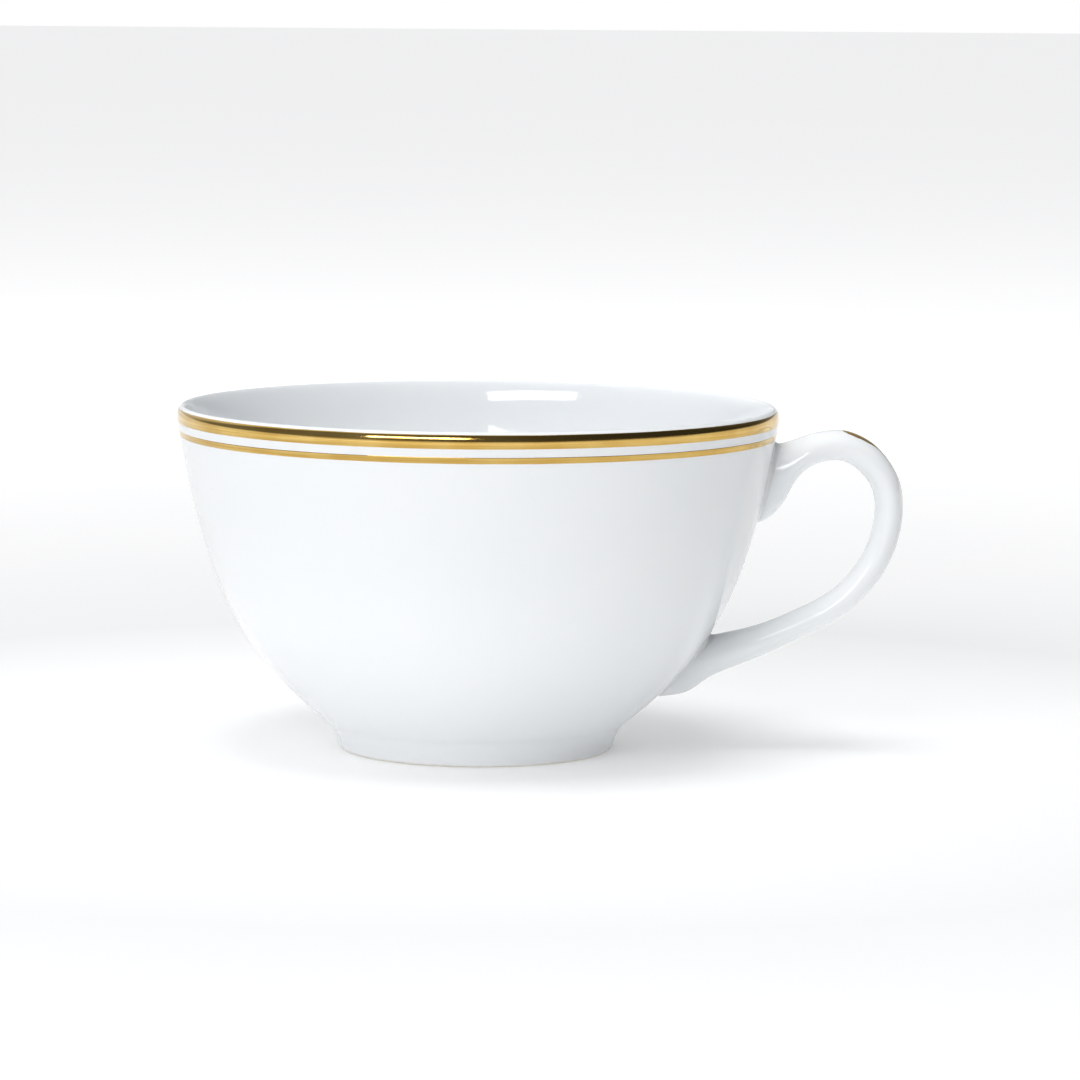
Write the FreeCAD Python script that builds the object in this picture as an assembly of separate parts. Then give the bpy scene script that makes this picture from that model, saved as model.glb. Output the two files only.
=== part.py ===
"""A bone china teacup with a loop handle, gilded at the rim and on the handle.

The cup stands on its foot at Z = 0 with its axis on Z, and the handle points along +X.
Every piece that is formed by itself and then stuck or painted on is a solid of its own.
"""
import FreeCAD, Part
import math
import os

V = FreeCAD.Vector
ORIGIN = V(0, 0, 0)
UP = V(0, 0, 1)

# ---- driving dimensions, in millimetres -------------------------------------------------
RIM_RADIUS = 50.0          # the widest place, where the lip begins
CUP_HEIGHT = 57.4          # from the table to the top of the lip
LIP_THICKNESS = 1.9        # wall at the rim
LIP_RISE = 1.7             # height over which the lip rounds over
FLOOR_THICKNESS = 3.0      # wall low down, where the cup is heaviest
FLOOR_TOP = 7.0            # inside of the cup at its middle
FOOT_TOP = 4.6             # plane where the foot ring meets the bowl
FOOT_FACE_INNER = 20.8     # the ring of bare china that the cup stands on
FOOT_FACE_OUTER = 22.0
FOOT_WALL_INNER = 19.8     # inside of the foot ring
FOOT_COVE = 1.2            # cove between the foot ring and the cup's underside
JOINT_RADIUS = 0.9         # fillet of slip where the handle is stuck on
GILT = 0.10                # thickness of the gold skins, drawn thicker than real gold
WIDE_BAND = (54.78, 57.02)     # bottom and top of the wide gold band
LINE_BAND = (52.45, 53.43)     # bottom and top of the thin gold line
STROKE_START = V(59.9, 0, 53.5)    # gilding on the handle: where the brush lands
STROKE_END = V(70.9, 0, 38.6)      # and where it lifts off
STROKE_HALF_WIDTH = 1.7            # at the widest place of the stroke

LIP_START = CUP_HEIGHT - LIP_RISE
LIP_MIDDLE = RIM_RADIUS - LIP_THICKNESS / 2
INSIDE_RIM = RIM_RADIUS - LIP_THICKNESS

# The outer wall of the foot ring and of the bowl, as (radius, height).
FOOT_WALL = [(23.0, 1.0), (23.32, 2.0), (23.78, 3.0), (25.12, FOOT_TOP)]
BOWL_WALL = [(25.12, FOOT_TOP), (27.94, 7.0), (32.2, 11.0), (37.9, 18.0), (42.6, 26.6),
             (46.3, 37.4), (48.6, 47.5), (RIM_RADIUS, LIP_START)]

# The handle from its upper root to its lower root, one row to each cross-section:
# the point on its outer line, the point on its inner line, and half its width across.
HANDLE_SECTIONS = [
    ((45.6, 50.3), (43.4, 37.9), 3.7),
    ((49.9, 51.2), (47.5, 38.3), 3.7),
    ((52.7, 52.0), (50.7, 41.1), 3.65),
    ((55.3, 52.9), (52.7, 44.8), 3.6),
    ((58.4, 53.5), (55.7, 47.6), 3.5),
    ((61.8, 53.3), (60.2, 48.5), 3.45),
    ((65.4, 51.6), (63.0, 47.2), 3.4),
    ((68.3, 48.6), (65.0, 45.1), 3.4),
    ((70.2, 45.1), (65.9, 43.1), 3.4),
    ((70.9, 40.5), (66.2, 40.4), 3.4),
    ((70.3, 35.7), (65.6, 36.4), 3.4),
    ((68.4, 30.7), (64.1, 32.5), 3.4),
    ((65.2, 26.2), (61.5, 28.9), 3.4),
    ((60.6, 22.1), (58.0, 25.9), 3.4),
    ((54.9, 19.1), (53.0, 23.3), 3.45),
    ((48.4, 16.0), (46.8, 20.8), 3.5),
    ((43.2, 13.9), (42.0, 19.6), 3.6),
    ((38.5, 11.7), (36.8, 18.4), 3.7),
    ((35.4, 9.6), (32.0, 16.4), 3.7),
    ((31.8, 8.8), (28.6, 13.4), 3.6),
    ((28.4, 8.5), (25.8, 11.6), 3.5),
]


# ---- helpers ----------------------------------------------------------------------------
def spline(points, **ends):
    """A smooth curve through (radius, height) points."""
    curve = Part.BSplineCurve()
    curve.interpolate(Points=[V(r, 0, z) for r, z in points], **ends)
    return curve


def line(start, end):
    return Part.makeLine(V(start[0], 0, start[1]), V(end[0], 0, end[1]))


def quarter(centre, radius, first, last):
    """An arc round a (radius, height) centre between two angles in degrees."""
    points = []
    for angle in (first, (first + last) / 2, last):
        turn = math.radians(angle)
        x = centre[0] + radius * math.cos(turn)
        z = centre[1] + radius * math.sin(turn)
        points.append(V(x, 0, z))
    return Part.Arc(*points).toShape()


def turned(edges):
    """The solid that a closed outline sweeps when it turns about the cup's axis."""
    face = Part.Face(Part.Wire(Part.__sortEdges__(edges)))
    return face.revolve(ORIGIN, UP, 360)


def outer_wall():
    """The bowl's outer wall from the foot ring to the lip, nearly upright at the lip."""
    return spline(BOWL_WALL, InitialTangent=V(1.12, 0, 1), FinalTangent=V(0.14, 0, 1))


def inner_wall():
    """The bowl's inner wall: level at the middle, then set in from the outer wall by the
    thickness of the china, which grows from the lip down to the floor."""
    outer = outer_wall()
    points = [(0.0, FLOOR_TOP), (12.0, 7.35), (22.0, 9.4)]
    for r, z in BOWL_WALL[2:-1]:
        depth = (LIP_START - z) / LIP_START
        thickness = LIP_THICKNESS + (FLOOR_THICKNESS - LIP_THICKNESS) * depth ** 1.5
        along = outer.tangent(outer.parameter(V(r, 0, z)))[0]
        points.append((r - thickness * along.z, z + thickness * along.x))
    points.append((INSIDE_RIM, LIP_START))
    return spline(points, InitialTangent=V(1, 0, 0), FinalTangent=V(0.16, 0, 1))


def lip_curve():
    """Half an oval that rounds the lip over, from the outer wall to the inner wall."""
    oval = Part.Ellipse(V(LIP_MIDDLE, 0, CUP_HEIGHT), V(RIM_RADIUS, 0, LIP_START),
                        V(LIP_MIDDLE, 0, LIP_START))
    outside = oval.parameter(V(RIM_RADIUS, 0, LIP_START))
    inside = oval.parameter(V(INSIDE_RIM, 0, LIP_START))
    top = oval.parameter(V(LIP_MIDDLE, 0, CUP_HEIGHT))
    first, last = sorted((outside, inside))
    if not first < top < last:
        first, last = last, first + 2 * math.pi
    return oval.toShape(first, last)


def wall_point(z, lift):
    """A point at height z on the bowl's outside, moved off the surface by lift."""
    if z <= LIP_START:
        outer = outer_wall()
        level = Part.Line(V(0, 0, z), V(RIM_RADIUS, 0, z))
        r = outer.intersectCC(level)[0].X
        along = outer.tangent(outer.parameter(V(r, 0, z)))[0]
        out = V(along.z, 0, -along.x)
    else:
        rise = (z - LIP_START) / LIP_RISE
        run = math.sqrt(1 - rise * rise)
        r = LIP_MIDDLE + LIP_THICKNESS / 2 * run
        out = V(run / (LIP_THICKNESS / 2), 0, rise / LIP_RISE)
    out.normalize()
    return (r + lift * out.x, z + lift * out.z)


def gold_skin(bottom, top):
    """A thin skin of gold round the outside of the cup between two heights."""
    steps = 8
    heights = [bottom + (top - bottom) * i / steps for i in range(steps + 1)]
    inside = [wall_point(z, 0) for z in heights]
    outside = [wall_point(z, GILT) for z in heights]
    return turned([
        spline(inside).toShape(),
        line(inside[-1], outside[-1]),
        spline(outside).toShape(),
        line(outside[0], inside[0]),
    ])


def handle_body(grown=0.0):
    """The handle's smooth body through its oval cross-sections, ends inside the bowl."""
    corners = 16
    wires = []
    for (x_out, z_out), (x_in, z_in), half_width in HANDLE_SECTIONS:
        outer = V(x_out, 0, z_out)
        inner = V(x_in, 0, z_in)
        centre = (outer + inner) / 2
        half_depth = (outer - inner).Length / 2
        out = (outer - inner).normalize() * (half_depth + grown)
        across = V(0, half_width + grown, 0)
        points = []
        for i in range(corners):
            turn = 2 * math.pi * i / corners
            points.append(centre + out * math.cos(turn) + across * math.sin(turn))
        oval = Part.BSplineCurve()
        oval.interpolate(Points=points, PeriodicFlag=True)
        wires.append(Part.Wire(oval.toShape()))
    return Part.makeLoft(wires, True)


def bowl_core():
    """Everything inside the bowl's outer surface, filled solid, to cut the handle with."""
    top = (0, LIP_START)
    bottom = (0, FOOT_TOP)
    return turned([
        outer_wall().toShape(),
        line((RIM_RADIUS, LIP_START), top),
        line(top, bottom),
        line(bottom, BOWL_WALL[0]),
    ])


# ---- the pieces -------------------------------------------------------------------------
def bowl():
    """The cast bowl, from its flat underside to its rounded lip."""
    return turned([
        line((0, FOOT_TOP), BOWL_WALL[0]),
        outer_wall().toShape(),
        lip_curve(),
        inner_wall().toShape(),
        line((0, FLOOR_TOP), (0, FOOT_TOP)),
    ])


def foot_ring():
    """The foot ring: a flared wall on a narrow ring of bare china, rounded both sides,
    with a cove where its inside runs into the cup's underside."""
    outer_edge = FOOT_WALL[0][0] - FOOT_FACE_OUTER
    inner_edge = FOOT_FACE_INNER - FOOT_WALL_INNER
    return turned([
        line((FOOT_FACE_INNER, 0), (FOOT_FACE_OUTER, 0)),
        quarter((FOOT_FACE_OUTER, outer_edge), outer_edge, -90, 0),
        spline(FOOT_WALL, InitialTangent=V(0.2, 0, 1), FinalTangent=V(1.12, 0, 1)).toShape(),
        line(FOOT_WALL[-1], (FOOT_WALL_INNER - FOOT_COVE, FOOT_TOP)),
        quarter((FOOT_WALL_INNER - FOOT_COVE, FOOT_TOP - FOOT_COVE), FOOT_COVE, 90, 0),
        line((FOOT_WALL_INNER, FOOT_TOP - FOOT_COVE), (FOOT_WALL_INNER, inner_edge)),
        quarter((FOOT_FACE_INNER, inner_edge), inner_edge, 180, 270),
    ])


def handle():
    """The cast handle, its two roots trimmed to lie on the bowl."""
    return handle_body().cut(bowl_core())


def bowl_normal(point):
    """The outward direction of the bowl's outer wall at a point on it."""
    outer = outer_wall()
    r = math.hypot(point.x, point.y)
    along = outer.tangent(outer.parameter(V(r, 0, point.z)))[0]
    return V(along.z * point.x / r, along.z * point.y / r, -along.x)


def slip_bead(seam, side):
    """A bead of slip round one root of the handle, triangular in section. One corner
    follows the seam inside the china; the other two run along the bowl and the handle."""
    steps = 28
    least_leg, most_leg = 0.5, 1.6
    triangles = []
    for point in seam.discretize(Number=steps + 1)[:-1]:
        off_bowl = bowl_normal(point)
        off_handle = side.normalAt(*side.Surface.parameter(point))
        facing = off_bowl.dot(off_handle)
        leg = JOINT_RADIUS / math.tan(math.acos(-facing) / 2)
        leg = min(max(leg, least_leg), most_leg)
        bite = leg / 8      # each corner starts inside the china, and is trimmed later
        along_bowl = (off_handle - off_bowl * facing).normalize()
        along_handle = (off_bowl - off_handle * facing).normalize()
        triangles.append(Part.makePolygon([
            point + along_bowl * leg - off_bowl * bite,
            point + along_handle * leg - off_handle * bite,
            point - (off_bowl + off_handle) * (2 * bite),
            point + along_bowl * leg - off_bowl * bite,
        ]))
    return Part.makeLoft(triangles, True, True, True)


def slip_joints():
    """The beads of slip in the corner between the bowl and each root of the handle."""
    core = bowl_core()
    loop = handle_body()
    side = max(loop.Faces, key=lambda face: face.Area)
    seams = [Part.Wire(edges) for edges in Part.sortEdges(core.section(side).Edges)]
    seams.sort(key=lambda seam: -seam.CenterOfMass.z)
    return [slip_bead(seam, side).cut(core).cut(loop) for seam in seams]


def stroke_prism():
    """A leaf-shaped prism that marks out the gilding on the handle: it looks square at
    the back of the handle, widens quickly and runs out to a long point."""
    run = STROKE_END - STROKE_START
    length = run.Length
    run.normalize()
    out = V(-run.z, 0, run.x)
    across = V(0, STROKE_HALF_WIDTH, 0)
    depth = 8.0
    widths = ((0.0, 0.0), (0.06, 0.6), (0.22, 1.0), (0.5, 0.75), (0.8, 0.33), (1.0, 0.0))
    edges = []
    for side in (1, -1):
        points = [STROKE_START + run * (length * share) + across * (side * width)
                  for share, width in widths]
        curve = Part.BSplineCurve()
        curve.interpolate(Points=points)
        edges.append(curve.toShape())
    leaf = Part.Face(Part.Wire(edges))
    leaf.translate(out * -0.4)
    return leaf.extrude(out * depth)


def handle_gilding():
    """The brush stroke of gold down the back of the handle."""
    skin = handle_body(GILT).cut(handle_body())
    return skin.common(stroke_prism())


def main():
    os.makedirs("parts", exist_ok=True)
    upper_joint, lower_joint = slip_joints()
    pieces = {
        "bowl": bowl(),
        "foot_ring": foot_ring(),
        "handle": handle(),
        "upper_slip_joint": upper_joint,
        "lower_slip_joint": lower_joint,
        "rim_band": gold_skin(*WIDE_BAND),
        "line_band": gold_skin(*LINE_BAND),
        "handle_gilding": handle_gilding(),
    }
    for name, shape in pieces.items():
        shape.exportStep("parts/" + name + ".step")
        box = shape.BoundBox
        print("%-18s %d solid(s), valid %s, volume %9.2f mm3, box %.2f x %.2f x %.2f mm" % (
            name, len(shape.Solids), shape.isValid(), shape.Volume,
            box.XLength, box.YLength, box.ZLength))


main()
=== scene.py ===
# %% [markdown]
# # A gilded bone china teacup
#
# The cup is a thin white bowl on a foot ring, with a loop handle stuck on at two places.
# After the glaze firing it was painted with bright gold: a wide band and a thin line
# round the rim, and one brush stroke down the back of the handle.
#
# The CAD model is loaded first. It is the fixed frame: it says how large everything is
# and where it sits. The pieces made below stand for its plain parts, at the same size.

# %% Load the fixed frame
import math
import bpy
import bmesh
import numpy as np
from mathutils import Matrix, Vector


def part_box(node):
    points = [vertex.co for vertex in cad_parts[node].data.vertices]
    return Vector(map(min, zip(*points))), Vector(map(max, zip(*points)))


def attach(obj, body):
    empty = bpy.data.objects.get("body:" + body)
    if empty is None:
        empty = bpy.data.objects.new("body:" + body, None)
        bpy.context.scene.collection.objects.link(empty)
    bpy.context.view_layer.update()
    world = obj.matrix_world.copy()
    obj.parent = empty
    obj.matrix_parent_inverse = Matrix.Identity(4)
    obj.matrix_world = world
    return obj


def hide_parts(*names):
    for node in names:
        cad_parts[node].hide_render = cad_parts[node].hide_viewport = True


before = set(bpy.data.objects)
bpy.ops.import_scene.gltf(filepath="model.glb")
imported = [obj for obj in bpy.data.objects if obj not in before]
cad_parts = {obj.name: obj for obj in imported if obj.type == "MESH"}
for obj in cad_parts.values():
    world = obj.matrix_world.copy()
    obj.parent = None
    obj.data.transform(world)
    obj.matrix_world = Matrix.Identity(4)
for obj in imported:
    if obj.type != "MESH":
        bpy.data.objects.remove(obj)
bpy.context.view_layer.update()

MM = 0.001
bowl_low, bowl_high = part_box("bowl")
RIM_RADIUS = bowl_high[0]
CUP_HEIGHT = bowl_high[2]
FOOT_TOP = bowl_low[2]
FOOT_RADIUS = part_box("foot_ring")[1][0]
print("cup %.1f mm across, %.1f mm high" % (2 * RIM_RADIUS / MM, CUP_HEIGHT / MM))

# %% [markdown]
# ## The camera
#
# A long lens set well back keeps the rim a slim oval, as on a catalogue picture of
# tableware. It looks a little down into the cup, with the handle square to the right.
# From a level start the camera is rolled, then tipped down, then swung to the right, all
# by small angles in radians.

# %% Camera
CAMERA_PLACE = Vector((0.0, -0.800, 0.1275))
LENS_MM, SENSOR_MM = 160.9, 36.0
TIP_DOWN, SWING_RIGHT, ROLL = 0.1153, 0.0130, 0.0076

lens = bpy.data.cameras.new("camera")
lens.lens = LENS_MM
lens.sensor_width = SENSOR_MM
lens.clip_start = 0.01
camera = bpy.data.objects.new("camera", lens)
bpy.context.scene.collection.objects.link(camera)
turn = Matrix.Rotation(-SWING_RIGHT, 4, "Z")
turn = turn @ Matrix.Rotation(math.pi / 2 - TIP_DOWN, 4, "X")
turn = turn @ Matrix.Rotation(ROLL, 4, "Z")
camera.matrix_world = Matrix.Translation(CAMERA_PLACE) @ turn
bpy.context.scene.camera = camera
print("camera %.0f mm from the cup's axis" % (-CAMERA_PLACE.y / MM))

# %% [markdown]
# ## Smooth lines
#
# A potter's profile has no corners except where one was meant. Glaze shows every kink
# as a jump in the reflections, so each line here is a cubic spline: it goes through a
# few chosen points and its bend changes evenly between them. The slopes at the points
# are found together, by solving one small set of equations.

# %% A smooth line through points
def smooth_line(points, start=None, end=None):
    """Returns (at, length): at(t) gives the place and the direction at t along it."""
    points = np.array(points, dtype=float)
    gaps = np.linalg.norm(np.diff(points, axis=0), axis=1)
    knots = np.concatenate([[0.0], np.cumsum(gaps)])
    count = len(points)
    rows = np.zeros((count, count))
    right = np.zeros_like(points)
    for i in range(1, count - 1):
        before, after = gaps[i - 1], gaps[i]
        rows[i, i - 1:i + 2] = 1 / before, 2 / before + 2 / after, 1 / after
        right[i] = 3 * ((points[i] - points[i - 1]) / before ** 2
                        + (points[i + 1] - points[i]) / after ** 2)
    for i, inward, fixed in ((0, 1, start), (count - 1, count - 2, end)):
        rows[i, i] = 2.0
        if fixed is None:
            rows[i, inward] = 1.0
            step = (points[inward] - points[i]) / (knots[inward] - knots[i])
            right[i] = 3 * step
        else:
            right[i] = 2 * np.array(fixed) / np.linalg.norm(fixed)
    slopes = np.linalg.solve(rows, right)

    def at(t):
        i = int(np.clip(np.searchsorted(knots, t) - 1, 0, count - 2))
        gap = gaps[i]
        s = (t - knots[i]) / gap
        place = (points[i] * (1 + 2 * s) * (1 - s) ** 2 + slopes[i] * gap * s * (1 - s) ** 2
                 + points[i + 1] * s * s * (3 - 2 * s) - slopes[i + 1] * gap * s * s * (1 - s))
        way = (points[i + 1] - points[i]) / gap * 6 * s * (1 - s)
        way = way + slopes[i] * (1 - s) * (1 - 3 * s) + slopes[i + 1] * s * (3 * s - 2)
        return place, way / np.linalg.norm(way)

    return at, knots[-1]


# %% [markdown]
# ## The profile of the cup
#
# A bowl like this is formed by turning, so one outline says everything about it. The
# outer wall swells quickly out of the foot and is nearly upright at the rim. The inner
# wall is set in from it by the thickness of the china, which is just under 2 mm at the
# lip and grows to 3 mm low down, where the cup needs the weight.

# %% Profile sizes and lines
LIP_THICKNESS = 1.9 * MM
LIP_RISE = 1.7 * MM
LOW_THICKNESS = 3.0 * MM
FLOOR_TOP = 7.0 * MM
LIP_START = CUP_HEIGHT - LIP_RISE
LIP_MIDDLE = RIM_RADIUS - LIP_THICKNESS / 2
NECK_SLOPE = (1.12, 1.0)
RIM_SLOPE = (0.14, 1.0)
INNER_RIM_SLOPE = (0.16, 1.0)
THICKENING = 1.5
LEAN_SAMPLES = 600

WALL_POINTS = [(FOOT_RADIUS, FOOT_TOP), (27.94 * MM, 7.0 * MM), (32.2 * MM, 11.0 * MM),
               (37.9 * MM, 18.0 * MM), (42.6 * MM, 26.6 * MM), (46.3 * MM, 37.4 * MM),
               (48.6 * MM, 47.5 * MM), (RIM_RADIUS, LIP_START)]
FLOOR_POINTS = [(0.0, FLOOR_TOP), (12.0 * MM, 7.35 * MM), (22.0 * MM, 9.4 * MM)]
wall_at, wall_length = smooth_line(WALL_POINTS, NECK_SLOPE, RIM_SLOPE)


def evenly(at, length, count):
    """Places and directions along a smooth line, evenly spaced, with both ends."""
    return [at(length * i / (count - 1)) for i in range(count)]


def heights_of(line):
    """The heights, radii and leans (radius gained for each step up) along a line."""
    return (np.array([place[1] for place, way in line]),
            np.array([place[0] for place, way in line]),
            np.array([way[0] / way[1] for place, way in line]))


wall_heights, wall_radii, wall_leans = heights_of(evenly(wall_at, wall_length,
                                                         LEAN_SAMPLES))


def inner_wall():
    """The inner wall, set in from the outer one by the thickness of the china."""
    points = list(FLOOR_POINTS)
    for r, z in WALL_POINTS[2:-1]:
        lean = float(np.interp(z, wall_heights, wall_leans))
        size = math.hypot(1.0, lean)
        depth = (LIP_START - z) / LIP_START
        china = LIP_THICKNESS + (LOW_THICKNESS - LIP_THICKNESS) * depth ** THICKENING
        points.append((r - china / size, z + china * lean / size))
    points.append((RIM_RADIUS - LIP_THICKNESS, LIP_START))
    return smooth_line(points, (1.0, 0.0), INNER_RIM_SLOPE)


inner_at, inner_length = inner_wall()
print("outer wall %.1f mm long, inner wall %.1f mm" % (wall_length / MM, inner_length / MM))

# %% [markdown]
# The lip is rounded with a wet sponge, so it grows out of both walls with no crease. Two
# curves do that: each leaves its wall a little below the lip, in the wall's direction,
# and arrives level at the top. The inner one starts lower and opens out more gently.

# %% The lip
OUTER_LEAVE, INNER_LEAVE = 0.8 * MM, 2.5 * MM
OUTER_PULL, INNER_PULL, TOP_PULL = 1.55 * MM, 1.9 * MM, 0.52 * MM
OUTER_LIP_POINTS, INNER_LIP_POINTS = 26, 34
OUTSIDE_POINTS, INSIDE_POINTS = 110, 100


def lip_curve(at, length, below, wall_pull, outward, count):
    """Half of the lip, from a wall up to the middle of the top."""
    leave = length - below * math.hypot(1.0, RIM_SLOPE[0])
    start, way = at(leave)
    top = np.array((LIP_MIDDLE, CUP_HEIGHT))
    first = start + way * wall_pull
    second = top + np.array((outward * TOP_PULL, 0.0))
    curve = []
    for s in np.linspace(0.0, 1.0, count):
        place = (start * (1 - s) ** 3 + first * 3 * s * (1 - s) ** 2
                 + second * 3 * s * s * (1 - s) + top * s ** 3)
        turn = ((first - start) * (1 - s) ** 2 + (second - first) * 2 * s * (1 - s)
                + (top - second) * s * s)
        curve.append((place, turn / np.linalg.norm(turn)))
    return leave, curve


outer_leave, outer_lip = lip_curve(wall_at, wall_length, OUTER_LEAVE, OUTER_PULL, 1,
                                   OUTER_LIP_POINTS)
inner_leave, inner_lip = lip_curve(inner_at, inner_length, INNER_LEAVE, INNER_PULL, -1,
                                   INNER_LIP_POINTS)
outside_line = evenly(wall_at, outer_leave, OUTSIDE_POINTS)[:-1] + outer_lip
wall_heights, wall_radii, wall_leans = heights_of(outside_line[:-1])


def wall_radius(z):
    """The bowl's outer radius at height z."""
    return float(np.interp(z, wall_heights, wall_radii))


def wall_normal(point):
    """The direction straight out of the bowl's outer wall at a point on it."""
    lean = float(np.interp(point.z, wall_heights, wall_leans))
    return Vector((point.x, point.y, -lean * math.hypot(point.x, point.y))).normalized()


print("widest at the lip: %.2f mm" % (max(place[0] for place, way in outer_lip) / MM))

# %% [markdown]
# The outlines are lists of (radius, height). They are walked in one direction, so that
# the turned faces all point outwards: from the middle of the underside out to the wall,
# up the outside, over the lip and down the inside to the middle. Points sit closer
# together where the line bends most.

# %% Outlines of the bowl and the foot ring
def rounding(centre, across, up, first, last, count):
    """Points on an oval corner between two angles in degrees, with both ends."""
    points = []
    for angle in np.radians(np.linspace(first, last, count)):
        points.append((centre[0] + across * math.cos(angle), centre[1] + up * math.sin(angle)))
    return points


def bowl_outline():
    """The bowl's section, from the axis under it to the axis inside it."""
    under = [(0.0, FOOT_TOP), (FOOT_RADIUS * 0.5, FOOT_TOP)]
    inside_line = evenly(inner_at, inner_leave, INSIDE_POINTS)[:-1] + inner_lip
    outside = [tuple(place) for place, way in outside_line]
    inside = [tuple(place) for place, way in inside_line]
    return under + outside + inside[-2::-1]


def foot_outline():
    """The foot ring's section, a closed loop that starts at the standing face."""
    face_inner, face_outer, wall_inner = 20.8 * MM, 22.0 * MM, 19.8 * MM
    low_edge, cove = 1.0 * MM, 1.2 * MM
    edge_points, wall_points, cove_points = 12, 30, 10
    foot_points = [(face_outer + low_edge, low_edge), (23.32 * MM, 2.0 * MM),
                   (23.78 * MM, 3.0 * MM), (FOOT_RADIUS, FOOT_TOP)]
    foot_at, foot_length = smooth_line(foot_points, (0.2, 1.0), NECK_SLOPE)
    edge = rounding((face_outer, low_edge), low_edge, low_edge, -90, 0, edge_points)
    outside = [tuple(place) for place, way in evenly(foot_at, foot_length, wall_points)][1:]
    inside = rounding((wall_inner - cove, FOOT_TOP - cove), cove, cove, 90, 0, cove_points)
    bottom = rounding((face_inner, low_edge), low_edge, low_edge, 180, 270, edge_points)
    return edge + outside + inside + bottom


print("outlines of %d and %d points" % (len(bowl_outline()), len(foot_outline())))

# %% [markdown]
# ## Turning on a lathe
#
# The bowl, the foot ring and both gold bands are all turned shapes, so they share one
# Geometry Nodes tree. It takes an outline, makes a flat grid with one column of points
# for each step round the cup, and moves every point to its place: its index says which
# step it belongs to and which point of the outline it copies. Merging by distance then
# closes the seam and the middle. A little noise can make an edge waver, as a brush does.

# %% The lathe
def add(tree, kind, feeds=None, **settings):
    """Adds a node, sets it up and feeds its sockets; returns its first output."""
    node = tree.nodes.new(kind)
    for name, value in settings.items():
        setattr(node, name, value)
    for socket, value in (feeds or {}).items():
        if isinstance(value, bpy.types.NodeSocket):
            tree.links.new(value, node.inputs[socket])
        else:
            node.inputs[socket].default_value = value
    return node.outputs[0]


def sums(tree, operation, first, second=0.0, third=0.0):
    """A Math node."""
    return add(tree, "ShaderNodeMath", {0: first, 1: second, 2: third}, operation=operation)


WAVER_SCALE, WAVER_SQUEEZE = 70.0, (1.0, 1.0, 8.0)


def lathe_tree():
    """Builds the tree: an outline goes in, a turned and welded mesh comes out."""
    tree = bpy.data.node_groups.new("lathe", "GeometryNodeTree")
    for name, kind in (("Outline", "Geometry"), ("Steps", "Int"), ("Closed", "Int"),
                       ("Waver", "Float"), ("Seed", "Float"), ("Finish", "Material")):
        tree.interface.new_socket(name, in_out="INPUT", socket_type="NodeSocket" + kind)
    tree.interface.new_socket("Turned", in_out="OUTPUT", socket_type="NodeSocketGeometry")
    given = tree.nodes.new("NodeGroupInput").outputs
    points = add(tree, "GeometryNodeAttributeDomainSize", {0: given["Outline"]})
    rows = sums(tree, "ADD", points, given["Closed"])
    grid = add(tree, "GeometryNodeMeshGrid", {
        "Vertices X": sums(tree, "ADD", given["Steps"], 1.0), "Vertices Y": rows})
    index = add(tree, "GeometryNodeInputIndex")
    step = sums(tree, "FLOOR", sums(tree, "DIVIDE", index, rows))
    row = sums(tree, "MODULO", sums(tree, "MODULO", index, rows), points)
    place = add(tree, "GeometryNodeSampleIndex", {
        "Geometry": given["Outline"], "Value": add(tree, "GeometryNodeInputPosition"),
        "Index": row}, data_type="FLOAT_VECTOR")
    share = sums(tree, "DIVIDE", sums(tree, "MODULO", step, given["Steps"]), given["Steps"])
    turned = add(tree, "ShaderNodeVectorRotate", {
        "Vector": place, "Angle": sums(tree, "MULTIPLY", share, 2 * math.pi)},
        rotation_type="Z_AXIS")
    stretched = add(tree, "ShaderNodeVectorMath", {0: turned, 1: WAVER_SQUEEZE},
                    operation="MULTIPLY")
    noise = add(tree, "ShaderNodeTexNoise", {
        "Vector": stretched, "W": given["Seed"], "Scale": WAVER_SCALE, "Detail": 2.0},
        noise_dimensions="4D")
    drift = sums(tree, "MULTIPLY", sums(tree, "SUBTRACT", noise, 0.5), given["Waver"])
    lift = add(tree, "ShaderNodeCombineXYZ", {"Z": drift})
    moved = add(tree, "GeometryNodeSetPosition", {
        "Geometry": grid, "Position": turned, "Offset": lift})
    merged = add(tree, "GeometryNodeMergeByDistance", {"Geometry": moved, "Distance": 1e-6})
    smooth = add(tree, "GeometryNodeSetShadeSmooth", {"Geometry": merged})
    real = add(tree, "GeometryNodeRealizeInstances", {"Geometry": smooth})
    done = add(tree, "GeometryNodeSetMaterial", {
        "Geometry": real, "Material": given["Finish"]})
    tree.links.new(done, tree.nodes.new("NodeGroupOutput").inputs[0])
    return tree


LATHE = lathe_tree()
print("lathe tree of %d nodes" % len(LATHE.nodes))

# %% [markdown]
# A tree's result becomes a plain mesh before it is used. Faces that meet at more than
# thirty degrees get a sharp edge, so a smooth wall is not shaded as if it ran into its
# flat neighbour. Each mesh is closed, so its volume is a good check on it.

# %% From outlines and rings to pieces
SHARP = math.radians(30)
pieces = {}


def finish_piece(name, mesh, finish):
    """Makes a closed mesh an object, with faces outwards and smooth shading."""
    form = bmesh.new()
    form.from_mesh(mesh)
    bmesh.ops.recalc_face_normals(form, faces=form.faces)
    if form.calc_volume(signed=True) < 0:
        bmesh.ops.reverse_faces(form, faces=form.faces)
    volume = form.calc_volume(signed=True)
    open_edges = sum(not edge.is_manifold for edge in form.edges)
    form.to_mesh(mesh)
    form.free()
    mesh.materials.clear()
    mesh.materials.append(finish)
    mesh.shade_smooth()
    mesh.set_sharp_from_angle(angle=SHARP)
    piece = bpy.data.objects.new(name, mesh)
    bpy.context.scene.collection.objects.link(piece)
    pieces[name] = piece
    print("%-18s %6d faces, %9.1f mm3, %d open edges" % (
        name, len(mesh.polygons), volume / MM ** 3, open_edges))
    return piece


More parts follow.
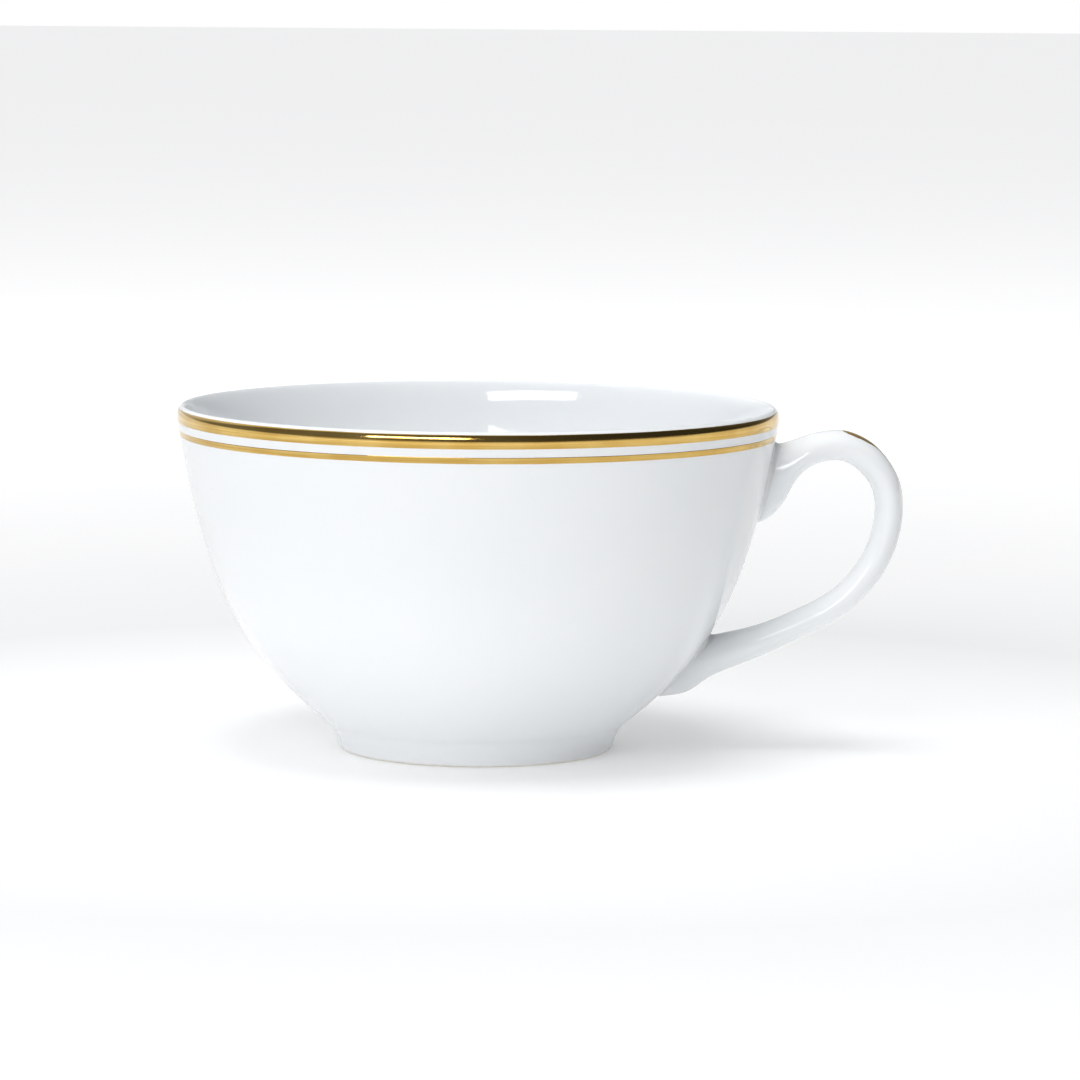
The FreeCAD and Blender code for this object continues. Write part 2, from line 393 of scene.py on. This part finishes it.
def turn_piece(name, outline, finish, closed=1, waver=0.0, seed=0.0, steps=256):
    """Turns an outline of (radius, height) points into a finished piece."""
    points = bpy.data.meshes.new(name + "_outline")
    points.from_pydata([(r, 0.0, z) for r, z in outline], [], [])
    holder = bpy.data.objects.new(name + "_outline", points)
    bpy.context.scene.collection.objects.link(holder)
    turning = holder.modifiers.new("turning", "NODES")
    turning.node_group = LATHE
    values = {"Steps": steps, "Closed": closed, "Waver": waver, "Seed": seed,
              "Finish": finish}
    for socket in LATHE.interface.items_tree:
        if socket.in_out == "INPUT" and socket.name in values:
            turning[socket.identifier] = values[socket.name]
    graph = bpy.context.evaluated_depsgraph_get()
    mesh = bpy.data.meshes.new_from_object(holder.evaluated_get(graph))
    mesh.name = name
    holder.modifiers.remove(turning)
    bpy.data.objects.remove(holder)
    bpy.data.meshes.remove(points)
    return finish_piece(name, mesh, finish)


def ring_piece(name, rings, finish, looped=False):
    """Joins rings of points with faces; the ends are closed, or the last ring joined
    to the first."""
    count, size = len(rings), len(rings[0])
    points = [tuple(point) for ring in rings for point in ring]
    faces = []
    for i in range(count if looped else count - 1):
        here, there = i * size, (i + 1) % count * size
        for j in range(size):
            k = (j + 1) % size
            faces.append((here + j, here + k, there + k, there + j))
    if not looped:
        for first in (0, (count - 1) * size):
            middle = sum((Vector(points[first + j]) for j in range(size)), Vector()) / size
            points.append(tuple(middle))
            for j in range(size):
                faces.append((first + j, first + (j + 1) % size, len(points) - 1))
    mesh = bpy.data.meshes.new(name)
    mesh.from_pydata(points, [], faces)
    return finish_piece(name, mesh, finish)


print("shaping helpers ready")

# %% [markdown]
# ## China and its glaze
#
# Bone china is a cool white body under a clear glaze. The body lets a little light in,
# so it gets a small share of subsurface scattering. The glaze is not optically flat: it
# pulls into a very fine, shallow ripple as it melts, which is only seen where it bends
# the edge of a reflection. A few pinhead specks in the body show through it. Patterns
# read Object coordinates, which are metres here, so a noise scale of 100 is 10 mm wide.

# %% Shader helpers
def new_finish(name):
    """A new material; returns it, its tree, its shader and its Object coordinates."""
    finish = bpy.data.materials.new(name)
    finish.use_nodes = True
    tree = finish.node_tree
    shader = tree.nodes["Principled BSDF"]
    where = tree.nodes.new("ShaderNodeTexCoord").outputs["Object"]
    return finish, tree, shader, where


def noise(tree, where, scale, detail=2.0, stretch=(1.0, 1.0, 1.0), centre=(0.0, 0.0, 0.0)):
    """A noise pattern; stretch squeezes it along an axis and centre shifts it."""
    mapped = add(tree, "ShaderNodeMapping", {
        "Vector": where, "Location": centre, "Scale": stretch})
    return add(tree, "ShaderNodeTexNoise", {
        "Vector": mapped, "Scale": scale, "Detail": detail})


def between(tree, amount, low, high, start=0.0, end=1.0):
    """Maps an amount from start..end to low..high, and no further."""
    return add(tree, "ShaderNodeMapRange", {
        "Value": amount, "From Min": start, "From Max": end, "To Min": low, "To Max": high})


def blend_colours(tree, amount, first, second):
    """A Mix node between two colours; either may be a link."""
    node = tree.nodes.new("ShaderNodeMix")
    node.data_type = "RGBA"
    for socket, value in ((0, amount), (6, first), (7, second)):
        if isinstance(value, bpy.types.NodeSocket):
            tree.links.new(value, node.inputs[socket])
        else:
            node.inputs[socket].default_value = value
    return node.outputs[2]


RIPPLE_DEPTH = 0.006 * MM
BARE_BELOW, GLAZED_ABOVE, RAGGED = 0.22 * MM, 0.40 * MM, 0.12 * MM
SPECK_SHARE, SPECK_STRENGTH, SPECK_TONE = 0.2, 0.55, (0.30, 0.26, 0.22, 1.0)
BISCUIT_PALE, BISCUIT_DARK = (0.83, 0.80, 0.75, 1.0), (0.74, 0.70, 0.64, 1.0)


def china(name, body, cloud, speck_seed, bare_foot=False):
    """Glazed bone china. body and cloud are the two whites it drifts between."""
    finish, tree, shader, where = new_finish(name)
    drift = between(tree, noise(tree, where, 45.0, 3.0), 0.0, 1.0, 0.35, 0.65)
    colour = blend_colours(tree, drift, (*body, 1.0), (*cloud, 1.0))

    shifted = add(tree, "ShaderNodeMapping", {"Vector": where, "Location": speck_seed})
    cells = tree.nodes.new("ShaderNodeTexVoronoi")
    cells.inputs["Scale"].default_value = 120.0
    tree.links.new(shifted, cells.inputs["Vector"])
    chance = add(tree, "ShaderNodeSeparateColor", {0: cells.outputs["Color"]})
    chosen = sums(tree, "GREATER_THAN", chance, 1 - SPECK_SHARE)
    dot = between(tree, cells.outputs["Distance"], 1.0, 0.0, 0.010, 0.028)
    speck = sums(tree, "MULTIPLY", sums(tree, "MULTIPLY", chosen, dot),
                 SPECK_STRENGTH)
    colour = blend_colours(tree, speck, colour, SPECK_TONE)

    gloss = between(tree, noise(tree, where, 220.0), 0.03, 0.06, 0.3, 0.7)
    ripple = noise(tree, where, 420.0, 1.0)
    if bare_foot:
        height = add(tree, "ShaderNodeSeparateXYZ", {0: where}).node.outputs["Z"]
        ragged = sums(tree, "ADD", height, between(
            tree, noise(tree, where, 500.0), -RAGGED, RAGGED, 0.3, 0.7))
        bare = between(tree, ragged, 1.0, 0.0, BARE_BELOW, GLAZED_ABOVE)
        grain = noise(tree, where, 5200.0, 3.0)
        biscuit = blend_colours(tree, grain, BISCUIT_PALE, BISCUIT_DARK)
        colour = blend_colours(tree, bare, colour, biscuit)
        gloss = sums(tree, "MAXIMUM", gloss, sums(tree, "MULTIPLY", bare, 0.62))
        ripple = sums(tree, "ADD", ripple, sums(tree, "MULTIPLY", bare, grain))
    bump = add(tree, "ShaderNodeBump", {
        "Height": ripple, "Strength": 1.0, "Distance": RIPPLE_DEPTH})
    tree.links.new(colour, shader.inputs["Base Color"])
    tree.links.new(gloss, shader.inputs["Roughness"])
    tree.links.new(bump, shader.inputs["Normal"])
    shader.inputs["IOR"].default_value = 1.52
    shader.inputs["Subsurface Weight"].default_value = 0.12
    shader.inputs["Subsurface Radius"].default_value = (1.0, 0.92, 0.85)
    shader.inputs["Subsurface Scale"].default_value = 1.2 * MM
    return finish


bowl_glaze = china("bowl_glaze", (0.912, 0.932, 0.950), (0.900, 0.923, 0.944), (0.0, 0.0, 0.0))
foot_glaze = china("foot_glaze", (0.912, 0.932, 0.950), (0.900, 0.923, 0.944),
                   (0.3, 0.1, 0.0), bare_foot=True)
handle_glaze = china("handle_glaze", (0.912, 0.932, 0.948), (0.900, 0.923, 0.942),
                     (0.7, 0.2, 0.0))
# The slip's whites are a shade darker than the bowl's: painted shade for the crease at the
# handle's roots.
shaded_slip_glaze = china("shaded_slip_glaze", (0.850, 0.865, 0.880), (0.815, 0.825, 0.835),
                   (0.9, 0.5, 0.0))
print("four china finishes")

# %% [markdown]
# ## Fired gold
#
# The gold is a metal film put on with a brush while the cup turned, then fired and
# burnished. It keeps faint streaks along the brush's path. The noise for them is squeezed
# in height, so on the bands each streak runs a long way round the cup. The same squeezed
# noise changes the roughness a little and gives a bump of a few thousandths of a
# millimetre. Where the film is thin, its colour turns browner.

# %% Gold finishes
STREAK_DEPTH = 0.004 * MM


def gold(name, stretch, centre, bright, thin, rough):
    """Fired gold. bright and thin are its colours where the film is thick and worn."""
    finish, tree, shader, where = new_finish(name)
    streaks = noise(tree, where, 60.0, 4.0, stretch, centre)
    patches = noise(tree, where, 110.0, 3.0)
    worn = between(tree, sums(tree, "MULTIPLY", streaks, patches), 0.0, 1.0, 0.16, 0.36)
    colour = blend_colours(tree, worn, (*thin, 1.0), (*bright, 1.0))
    tree.links.new(colour, shader.inputs["Base Color"])
    tree.links.new(between(tree, streaks, rough + 0.06, rough - 0.03, 0.3, 0.7),
                   shader.inputs["Roughness"])
    bump = add(tree, "ShaderNodeBump", {
        "Height": streaks, "Strength": 1.0, "Distance": STREAK_DEPTH})
    tree.links.new(bump, shader.inputs["Normal"])
    shader.inputs["Metallic"].default_value = 1.0
    return finish


band_gold = gold("band_gold", (1.0, 1.0, 55.0), (0.0, 0.0, 0.0),
                 (0.74, 0.52, 0.175), (0.60, 0.375, 0.095), 0.10)
stroke_gold = gold("stroke_gold", (2.0, 18.0, 4.0), (0.4, 0.0, 0.0),
                   (0.75, 0.51, 0.165), (0.60, 0.36, 0.09), 0.15)
print("two gold finishes")

# %% [markdown]
# ## The bowl and the foot ring
#
# Both outlines are turned in the lathe. They meet under the bowl in one smooth line, as
# on the real cup, where a ring of clay is thrown with the bowl and trimmed to shape. The
# bowl's outline begins and ends on the axis, so it is not closed by the tree; the foot
# ring's outline is a loop.

# %% Bowl and foot ring
turn_piece("turned_bowl", bowl_outline(), bowl_glaze, closed=0)
turn_piece("turned_foot", foot_outline(), foot_glaze)

# %% [markdown]
# ## The handle
#
# The handle is cast on its own and is oval in section. It is described by its outer and
# inner edge and its half width at a row of places along the loop. One smooth line is
# drawn through all five numbers together, which gives an oval anywhere along it. Round
# the oval, 96 lines run from root to root. Each is cut where it passes a set depth
# inside the bowl's wall, so the two ends follow the wall and nothing shows in the cup.

# %% The handle's surface
# (outer x, outer z, inner x, inner z, half width) in millimetres
HANDLE_OVALS = [
    (45.6, 50.3, 43.4, 37.9, 3.7), (49.9, 51.2, 47.5, 38.3, 3.7),
    (52.7, 52.0, 50.7, 41.1, 3.65), (55.3, 52.9, 52.7, 44.8, 3.6),
    (58.4, 53.5, 55.7, 47.6, 3.5), (61.8, 53.3, 60.2, 48.5, 3.45),
    (65.4, 51.6, 63.0, 47.2, 3.4), (68.3, 48.6, 65.0, 45.1, 3.4),
    (70.2, 45.1, 65.9, 43.1, 3.4), (70.9, 40.5, 66.2, 40.4, 3.4),
    (70.3, 35.7, 65.6, 36.4, 3.4), (68.4, 30.7, 64.1, 32.5, 3.4),
    (65.2, 26.2, 61.5, 28.9, 3.4), (60.6, 22.1, 58.0, 25.9, 3.4),
    (54.9, 19.1, 53.0, 23.3, 3.45), (48.4, 16.0, 46.8, 20.8, 3.5),
    (43.2, 13.9, 42.0, 19.6, 3.6), (38.5, 11.7, 36.8, 18.4, 3.7),
    (35.4, 9.6, 32.0, 16.4, 3.7), (31.8, 8.8, 28.6, 13.4, 3.6),
    (28.4, 8.5, 25.8, 11.6, 3.5),
]
HANDLE_LINES = 96
HANDLE_RINGS = 220
ROOT_DEPTH = 0.7 * MM
HALVINGS = 40
handle_at, handle_length = smooth_line(np.array(HANDLE_OVALS) * MM)


def handle_point(t, turn):
    """A place on the handle: t along it, and turn round its oval from the outer edge."""
    x_out, z_out, x_in, z_in, half_width = handle_at(t)[0]
    outer, inner = Vector((x_out, 0.0, z_out)), Vector((x_in, 0.0, z_in))
    side = Vector((0.0, half_width * math.sin(turn), 0.0))
    return (outer + inner) / 2 + (outer - inner) / 2 * math.cos(turn) + side


def handle_frame(t, turn):
    """The place, the direction along the handle and the direction out of it."""
    small = 1e-5
    place = handle_point(t, turn)
    along = handle_point(t + small, turn) - handle_point(t - small, turn)
    around = handle_point(t, turn + 0.01) - handle_point(t, turn - 0.01)
    out = around.cross(along).normalized()
    middle = (handle_point(t, 0.0) + handle_point(t, math.pi)) / 2
    if out.dot(place - middle) < 0:
        out.negate()
    return place, along / (2 * small), out


def root_cut(turn, inside, outside, depth):
    """Where one line of the handle passes a depth inside the bowl's outer wall."""
    for _ in range(HALVINGS):
        middle = (inside + outside) / 2
        point = handle_point(middle, turn)
        if math.hypot(point.x, point.y) < wall_radius(point.z) - depth:
            inside = middle
        else:
            outside = middle
    return (inside + outside) / 2


turns = [2 * math.pi * i / HANDLE_LINES for i in range(HANDLE_LINES)]
half_way = handle_length / 2
rings = [[] for _ in range(HANDLE_RINGS)]
for turn in turns:
    first = root_cut(turn, 0.0, half_way, ROOT_DEPTH)
    last = root_cut(turn, handle_length, half_way, ROOT_DEPTH)
    for ring, share in zip(rings, np.linspace(0.0, 1.0, HANDLE_RINGS)):
        ring.append(handle_point(first + (last - first) * share, turn))
ring_piece("looped_handle", rings, handle_glaze)

# %% [markdown]
# ## The slip at the handle's roots
#
# The handle is stuck on with slip, which is liquid clay, and the potter wipes the corner
# into a small smooth fillet. Each fillet follows the seam where the handle meets the
# bowl. At every step it runs tangent to the bowl, bends round, and leaves tangent to the
# handle. Its back lies hidden inside the china, which makes it a closed ring. Its whites
# are a shade darker than the bowl's: painted shade for the crease where handle and bowl meet.

# %% Slip fillets
SLIP_RADIUS = 0.9 * MM
LEAST_LEG, MOST_LEG = 0.5 * MM, 1.6 * MM
SUNK = 0.3 * MM
SLIP_PULL = 0.6
BEND_POINTS = 10


def on_bowl(point):
    """The place on the bowl's outer wall level with a point."""
    reach = wall_radius(point.z) / math.hypot(point.x, point.y)
    return Vector((point.x * reach, point.y * reach, point.z))


def along_surface(direction, normal):
    """The part of a direction that runs along a surface."""
    return (direction - normal * direction.dot(normal)).normalized()


def slip_fillet(name, root_end, way):
    """The fillet round one root; way is +1 where the handle leaves the bowl there."""
    rings = []
    for turn in turns:
        seam = root_cut(turn, root_end, half_way, 0.0)
        point, along, off_handle = handle_frame(seam, turn)
        off_bowl = wall_normal(point)
        facing = off_bowl.dot(off_handle)
        leg = SLIP_RADIUS / math.tan(math.acos(-facing) / 2)
        leg = min(max(leg, LEAST_LEG), MOST_LEG)
        foot = on_bowl(point + (off_handle - off_bowl * facing).normalized() * leg)
        foot_out = wall_normal(foot)
        head, _, head_out = handle_frame(seam + way * leg / along.length, turn)
        pull = SLIP_PULL * leg
        first = foot + along_surface(point - foot, foot_out) * pull
        second = head + along_surface(point - head, head_out) * pull
        ring = []
        for s in np.linspace(0.0, 1.0, BEND_POINTS):
            ring.append(foot * (1 - s) ** 3 + first * 3 * s * (1 - s) ** 2
                        + second * 3 * s * s * (1 - s) + head * s ** 3)
        ring.append(head - head_out * SUNK)
        ring.append(point - (off_handle + off_bowl) * SUNK)
        ring.append(foot - foot_out * SUNK)
        rings.append(ring)
    return ring_piece(name, rings, shaded_slip_glaze, looped=True)


slip_fillet("upper_slip", 0.0, 1)
slip_fillet("lower_slip", handle_length, -1)

# %% [markdown]
# ## The gold bands
#
# Each band is a film on the outside of the bowl. The same lathe turns its section, which
# is the bowl's own outline between two heights, lifted a few hundredths of a millimetre.
# A real film is thinner still, but a closed skin needs some thickness to be a solid. Its
# edges taper down into the glaze, and waver slightly, because a hand held the brush.

# %% Wide band and thin line
FILM = 0.035 * MM
FILM_BACK = 0.03 * MM
FILM_EDGE = 0.08 * MM
CAD_FILM = 0.10 * MM
BRUSH_WAVER = 0.10 * MM
BAND_STEPS = 288


def skin_place(z):
    """The bowl's outside at height z, as (radius, height), and the direction off it."""
    lean = float(np.interp(z, wall_heights, wall_leans))
    size = math.hypot(1.0, lean)
    return (wall_radius(z), z), (1 / size, -lean / size)


def film_outline(bottom, top, count):
    """A thin closed section on the bowl's outside between two heights."""
    face, back = [], []
    for share in np.linspace(0.0, 1.0, count):
        (r, z), (out_r, out_z) = skin_place(bottom + (top - bottom) * share)
        edge = min(share, 1 - share) * (top - bottom)
        lift = FILM * min(edge / FILM_EDGE, 1.0) ** 0.5 if edge > 0 else 0.0
        face.append((r + out_r * lift, z + out_z * lift))
        back.append((r - out_r * FILM_BACK, z - out_z * FILM_BACK))
    return face + back[::-1]


for node, name, count, seed in (("rim_band", "wide_gold_band", 45, 1.0),
                                ("line_band", "thin_gold_line", 25, 7.0)):
    low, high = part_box(node)
    section = film_outline(low.z, high.z - CAD_FILM * (node == "rim_band"), count)
    turn_piece(name, section, band_gold, waver=BRUSH_WAVER, seed=seed, steps=BAND_STEPS)

# %% [markdown]
# ## The stroke on the handle
#
# The gilder laid one loaded brush on the top of the loop and drew it down the back: it
# starts blunt, widens at once and runs out to a long thin tail. The stroke is a grid of
# points on the handle's own surface, a leaf in plan, with a ragged edge. A second grid
# just under the surface closes it.

# %% Gold stroke
STROKE_HEAD = Vector((59.9, 0.0, 53.5)) * MM
STROKE_TAIL = Vector((70.9, 0.0, 38.6)) * MM
STROKE_HALF_WIDTH = 1.9 * MM
LEAF_SHARES = (0.0, 0.015, 0.06, 0.16, 0.25, 0.34, 0.45, 0.70, 1.0)
LEAF_WIDTHS = (0.0, 0.45, 0.80, 1.0, 0.93, 0.60, 0.28, 0.13, 0.0)
STROKE_ROWS, STROKE_LINES = 120, 17
RAGGED_SEED, RAGGED_SPAN, RAGGED_REACH = 11, 7, 0.10 * MM
THIN_BELOW, NARROW_BELOW = 0.2 * MM, 0.4 * MM


def nearest_along(target):
    """How far along the handle its outer edge comes closest to a point."""
    places = np.linspace(0.2, 0.8, 1200) * handle_length
    gaps = [(handle_point(t, 0.0) - target).length for t in places]
    return float(places[int(np.argmin(gaps))])


def stroke_piece(name, finish):
    """The leaf of gold: a grid on the handle and one just under it, joined round."""
    head, tail = nearest_along(STROKE_HEAD), nearest_along(STROKE_TAIL)
    dice = np.random.default_rng(RAGGED_SEED)
    ragged = dice.normal(0.0, 1.0, (2, STROKE_ROWS))
    window = np.ones(RAGGED_SPAN) / RAGGED_SPAN
    ragged = np.array([np.convolve(row, window, "same") for row in ragged])
    top, under = [], []
    for i, share in enumerate(np.linspace(0.0, 1.0, STROKE_ROWS)):
        t = head + (tail - head) * share
        wide = float(np.interp(share, LEAF_SHARES, LEAF_WIDTHS)) * STROKE_HALF_WIDTH
        half_width = handle_at(t)[0][4]
        for v in np.linspace(-1.0, 1.0, STROKE_LINES):
            drift = ragged[int(v > 0)][i] * RAGGED_REACH * min(wide / NARROW_BELOW, 1.0)
            reach = v * wide + abs(v) ** 3 * math.copysign(1.0, v) * drift
            place, _, out = handle_frame(t, math.asin(reach / half_width))
            edge = min(1.0, (1 - abs(v)) * 5, wide / THIN_BELOW)
            top.append(place + out * FILM * edge)
            under.append(place - out * FILM_BACK)
    points = top + under
    size, faces = STROKE_LINES, []
    below = len(top)
    for i in range(STROKE_ROWS - 1):
        for j in range(size - 1):
            a, d = i * size + j, (i + 1) * size + j
            b, c = a + 1, d + 1
            faces.append((a, b, c, d))
            faces.append((d + below, c + below, b + below, a + below))
        for a, d in ((i * size, (i + 1) * size), (i * size + size - 1, (i + 2) * size - 1)):
            faces.append((a, d, d + below, a + below))
    for i in (0, STROKE_ROWS - 1):
        for j in range(size - 1):
            a = i * size + j
            faces.append((a, a + 1, a + 1 + below, a + below))
    mesh = bpy.data.meshes.new(name)
    mesh.from_pydata([tuple(point) for point in points], [], faces)
    form = bmesh.new()
    form.from_mesh(mesh)
    bmesh.ops.remove_doubles(form, verts=form.verts, dist=1e-7)
    bmesh.ops.dissolve_degenerate(form, edges=form.edges, dist=1e-8)
    form.to_mesh(mesh)
    form.free()
    return finish_piece(name, mesh, finish)


stroke_piece("gold_stroke", stroke_gold)

# %% [markdown]
# ## Fitting the pieces to the frame
#
# Nothing on a teacup moves, so every piece rides on the one body, root. Each piece takes
# the place of its CAD node, whose own mesh is made of flat triangles that a gloss glaze
# would show.

# %% Riding and replaced nodes
ROWS = [
    ("turned_bowl", "bowl_china", "bowl"),
    ("turned_foot", "foot_china", "foot_ring"),
    ("looped_handle", "handle_china", "handle"),
    ("upper_slip", "slip", "upper_slip_joint"),
    ("lower_slip", "slip", "lower_slip_joint"),
    ("wide_gold_band", "rim_gold", "rim_band"),
    ("thin_gold_line", "rim_gold", "line_band"),
    ("gold_stroke", "handle_gold", "handle_gilding"),
]
for name, slot, node in ROWS:
    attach(pieces[name], "root")
    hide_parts(node)
print("%d pieces ride on root" % len(ROWS))

# %% [markdown]
# ## The studio
#
# A white glazed cup on white shows little but its own soft shading and what the glaze
# and the gold reflect, so the light is most of the picture. A square softbox hangs high
# in front on the left, a long narrow one stands lower on the same side, and a third hangs
# over the cup and fills its inside. Only the long one is seen in reflections: it is the
# bright bar inside the cup and the streak on the gold. The floor is pale paper. It glows
# a little under the cup, which lifts the foot out of its shadow, and more far away.

# %% Floor
FLOOR_REACH = 12.0
PAPER_COOL, PAPER_PLAIN = (0.815, 0.82, 0.825, 1.0), (0.83, 0.83, 0.83, 1.0)
NEAR, AWAY = 0.05, 0.16
NEAR_GLOW, AWAY_GLOW = 0.24, 0.09
FAR, FAR_GLOW = (0.16, 0.70), 0.42
reach = ((-1, -1), (1, -1), (1, 1), (-1, 1))
floor_mesh = bpy.data.meshes.new("floor")
floor_mesh.from_pydata([(x * FLOOR_REACH, y * FLOOR_REACH, 0.0) for x, y in reach],
                       [], [(0, 1, 2, 3)])
floor = bpy.data.objects.new("floor", floor_mesh)
bpy.context.scene.collection.objects.link(floor)
paper, paper_tree, paper_shader, paper_where = new_finish("floor_paper")
tone = between(paper_tree, noise(paper_tree, paper_where, 9.0), 0.0, 1.0, 0.3, 0.7)
paper_tree.links.new(blend_colours(paper_tree, tone, PAPER_COOL, PAPER_PLAIN),
                     paper_shader.inputs["Base Color"])
distance = add(paper_tree, "ShaderNodeVectorMath", {0: paper_where},
               operation="LENGTH").node.outputs["Value"]
near_glow = between(paper_tree, distance, NEAR_GLOW, AWAY_GLOW, NEAR, AWAY)
far_glow = between(paper_tree, distance, 0.0, FAR_GLOW, *FAR)
paper_tree.links.new(sums(paper_tree, "ADD", near_glow, far_glow),
                     paper_shader.inputs["Emission Strength"])
paper_shader.inputs["Emission Color"].default_value = (1.0, 1.0, 1.0, 1.0)
paper_shader.inputs["Roughness"].default_value = 0.9
paper_shader.inputs["Specular IOR Level"].default_value = 0.1
floor_mesh.materials.append(paper)
print("pale floor")

# %% Softboxes
def lamp(name, place, target, width, height, power, mirrored=True):
    """An area lamp facing a target; unless mirrored, no reflection shows it."""
    light = bpy.data.lights.new(name, "AREA")
    light.shape = "RECTANGLE"
    light.size, light.size_y = width, height
    light.energy = power
    holder = bpy.data.objects.new(name, light)
    facing = (Vector(target) - Vector(place)).to_track_quat("-Z", "Y")
    holder.matrix_world = Matrix.Translation(Vector(place)) @ facing.to_matrix().to_4x4()
    holder.visible_camera = False
    holder.visible_glossy = mirrored
    bpy.context.scene.collection.objects.link(holder)
    return holder


CUP_MIDDLE = (0.0, 0.0, 0.03)
lamp("high_softbox", (-0.42, -1.10, 1.10), CUP_MIDDLE, 0.75, 0.75, 2.8, mirrored=False)
lamp("low_softbox", (-0.537, -1.24, 0.60), CUP_MIDDLE, 0.95, 0.21, 5.2)
lamp("top_softbox", (0.0, -0.10, 1.20), CUP_MIDDLE, 0.60, 0.60, 7.0, mirrored=False)
print("three softboxes")

# %% [markdown]
# The room is a world shader that reads the direction a ray leaves in. Over a white
# horizon stand dim walls, and the ceiling is pale overhead and behind the cup. The front
# stays dark far up, because that is what the rounded lip mirrors, and that makes the gold
# read as metal. Walls and ceiling are both much darker on the right.

# %% Room
HORIZON, CEILING_EDGE, CEILING_TILT = (0.03, 0.09), (0.42, 0.60), 0.5
HORIZON_TONE = (1.0, 1.0, 1.0, 1.0)
WALL_LEFT, WALL_RIGHT = (0.18, 0.183, 0.187, 1.0), (0.04, 0.041, 0.042, 1.0)
CEILING_LEFT, CEILING_RIGHT = (0.98, 0.99, 1.00, 1.0), (0.10, 0.102, 0.104, 1.0)
room = bpy.data.worlds.new("room")
room.use_nodes = True
bpy.context.scene.world = room
room_tree = room.node_tree
sky = room_tree.nodes["Background"]
look = room_tree.nodes.new("ShaderNodeTexCoord").outputs["Generated"]
axes = add(room_tree, "ShaderNodeSeparateXYZ", {0: look}).node.outputs
left_to_right = between(room_tree, axes["X"], 0.0, 1.0, -0.7, 0.7)
walls = blend_colours(room_tree, left_to_right, WALL_LEFT, WALL_RIGHT)
ceiling = blend_colours(room_tree, left_to_right, CEILING_LEFT, CEILING_RIGHT)
tilted = sums(room_tree, "MULTIPLY_ADD", axes["Y"], CEILING_TILT, axes["Z"])
to_ceiling = between(room_tree, tilted, 0.0, 1.0, *CEILING_EDGE)
above = blend_colours(room_tree, to_ceiling, walls, ceiling)
to_walls = between(room_tree, axes["Z"], 0.0, 1.0, *HORIZON)
room_tree.links.new(blend_colours(room_tree, to_walls, HORIZON_TONE, above),
                    sky.inputs["Color"])
sky.inputs["Strength"].default_value = 1.0
bpy.context.scene.view_settings.view_transform = "Standard"
bpy.context.scene.view_settings.look = "None"
print("a pale ceiling over dim walls")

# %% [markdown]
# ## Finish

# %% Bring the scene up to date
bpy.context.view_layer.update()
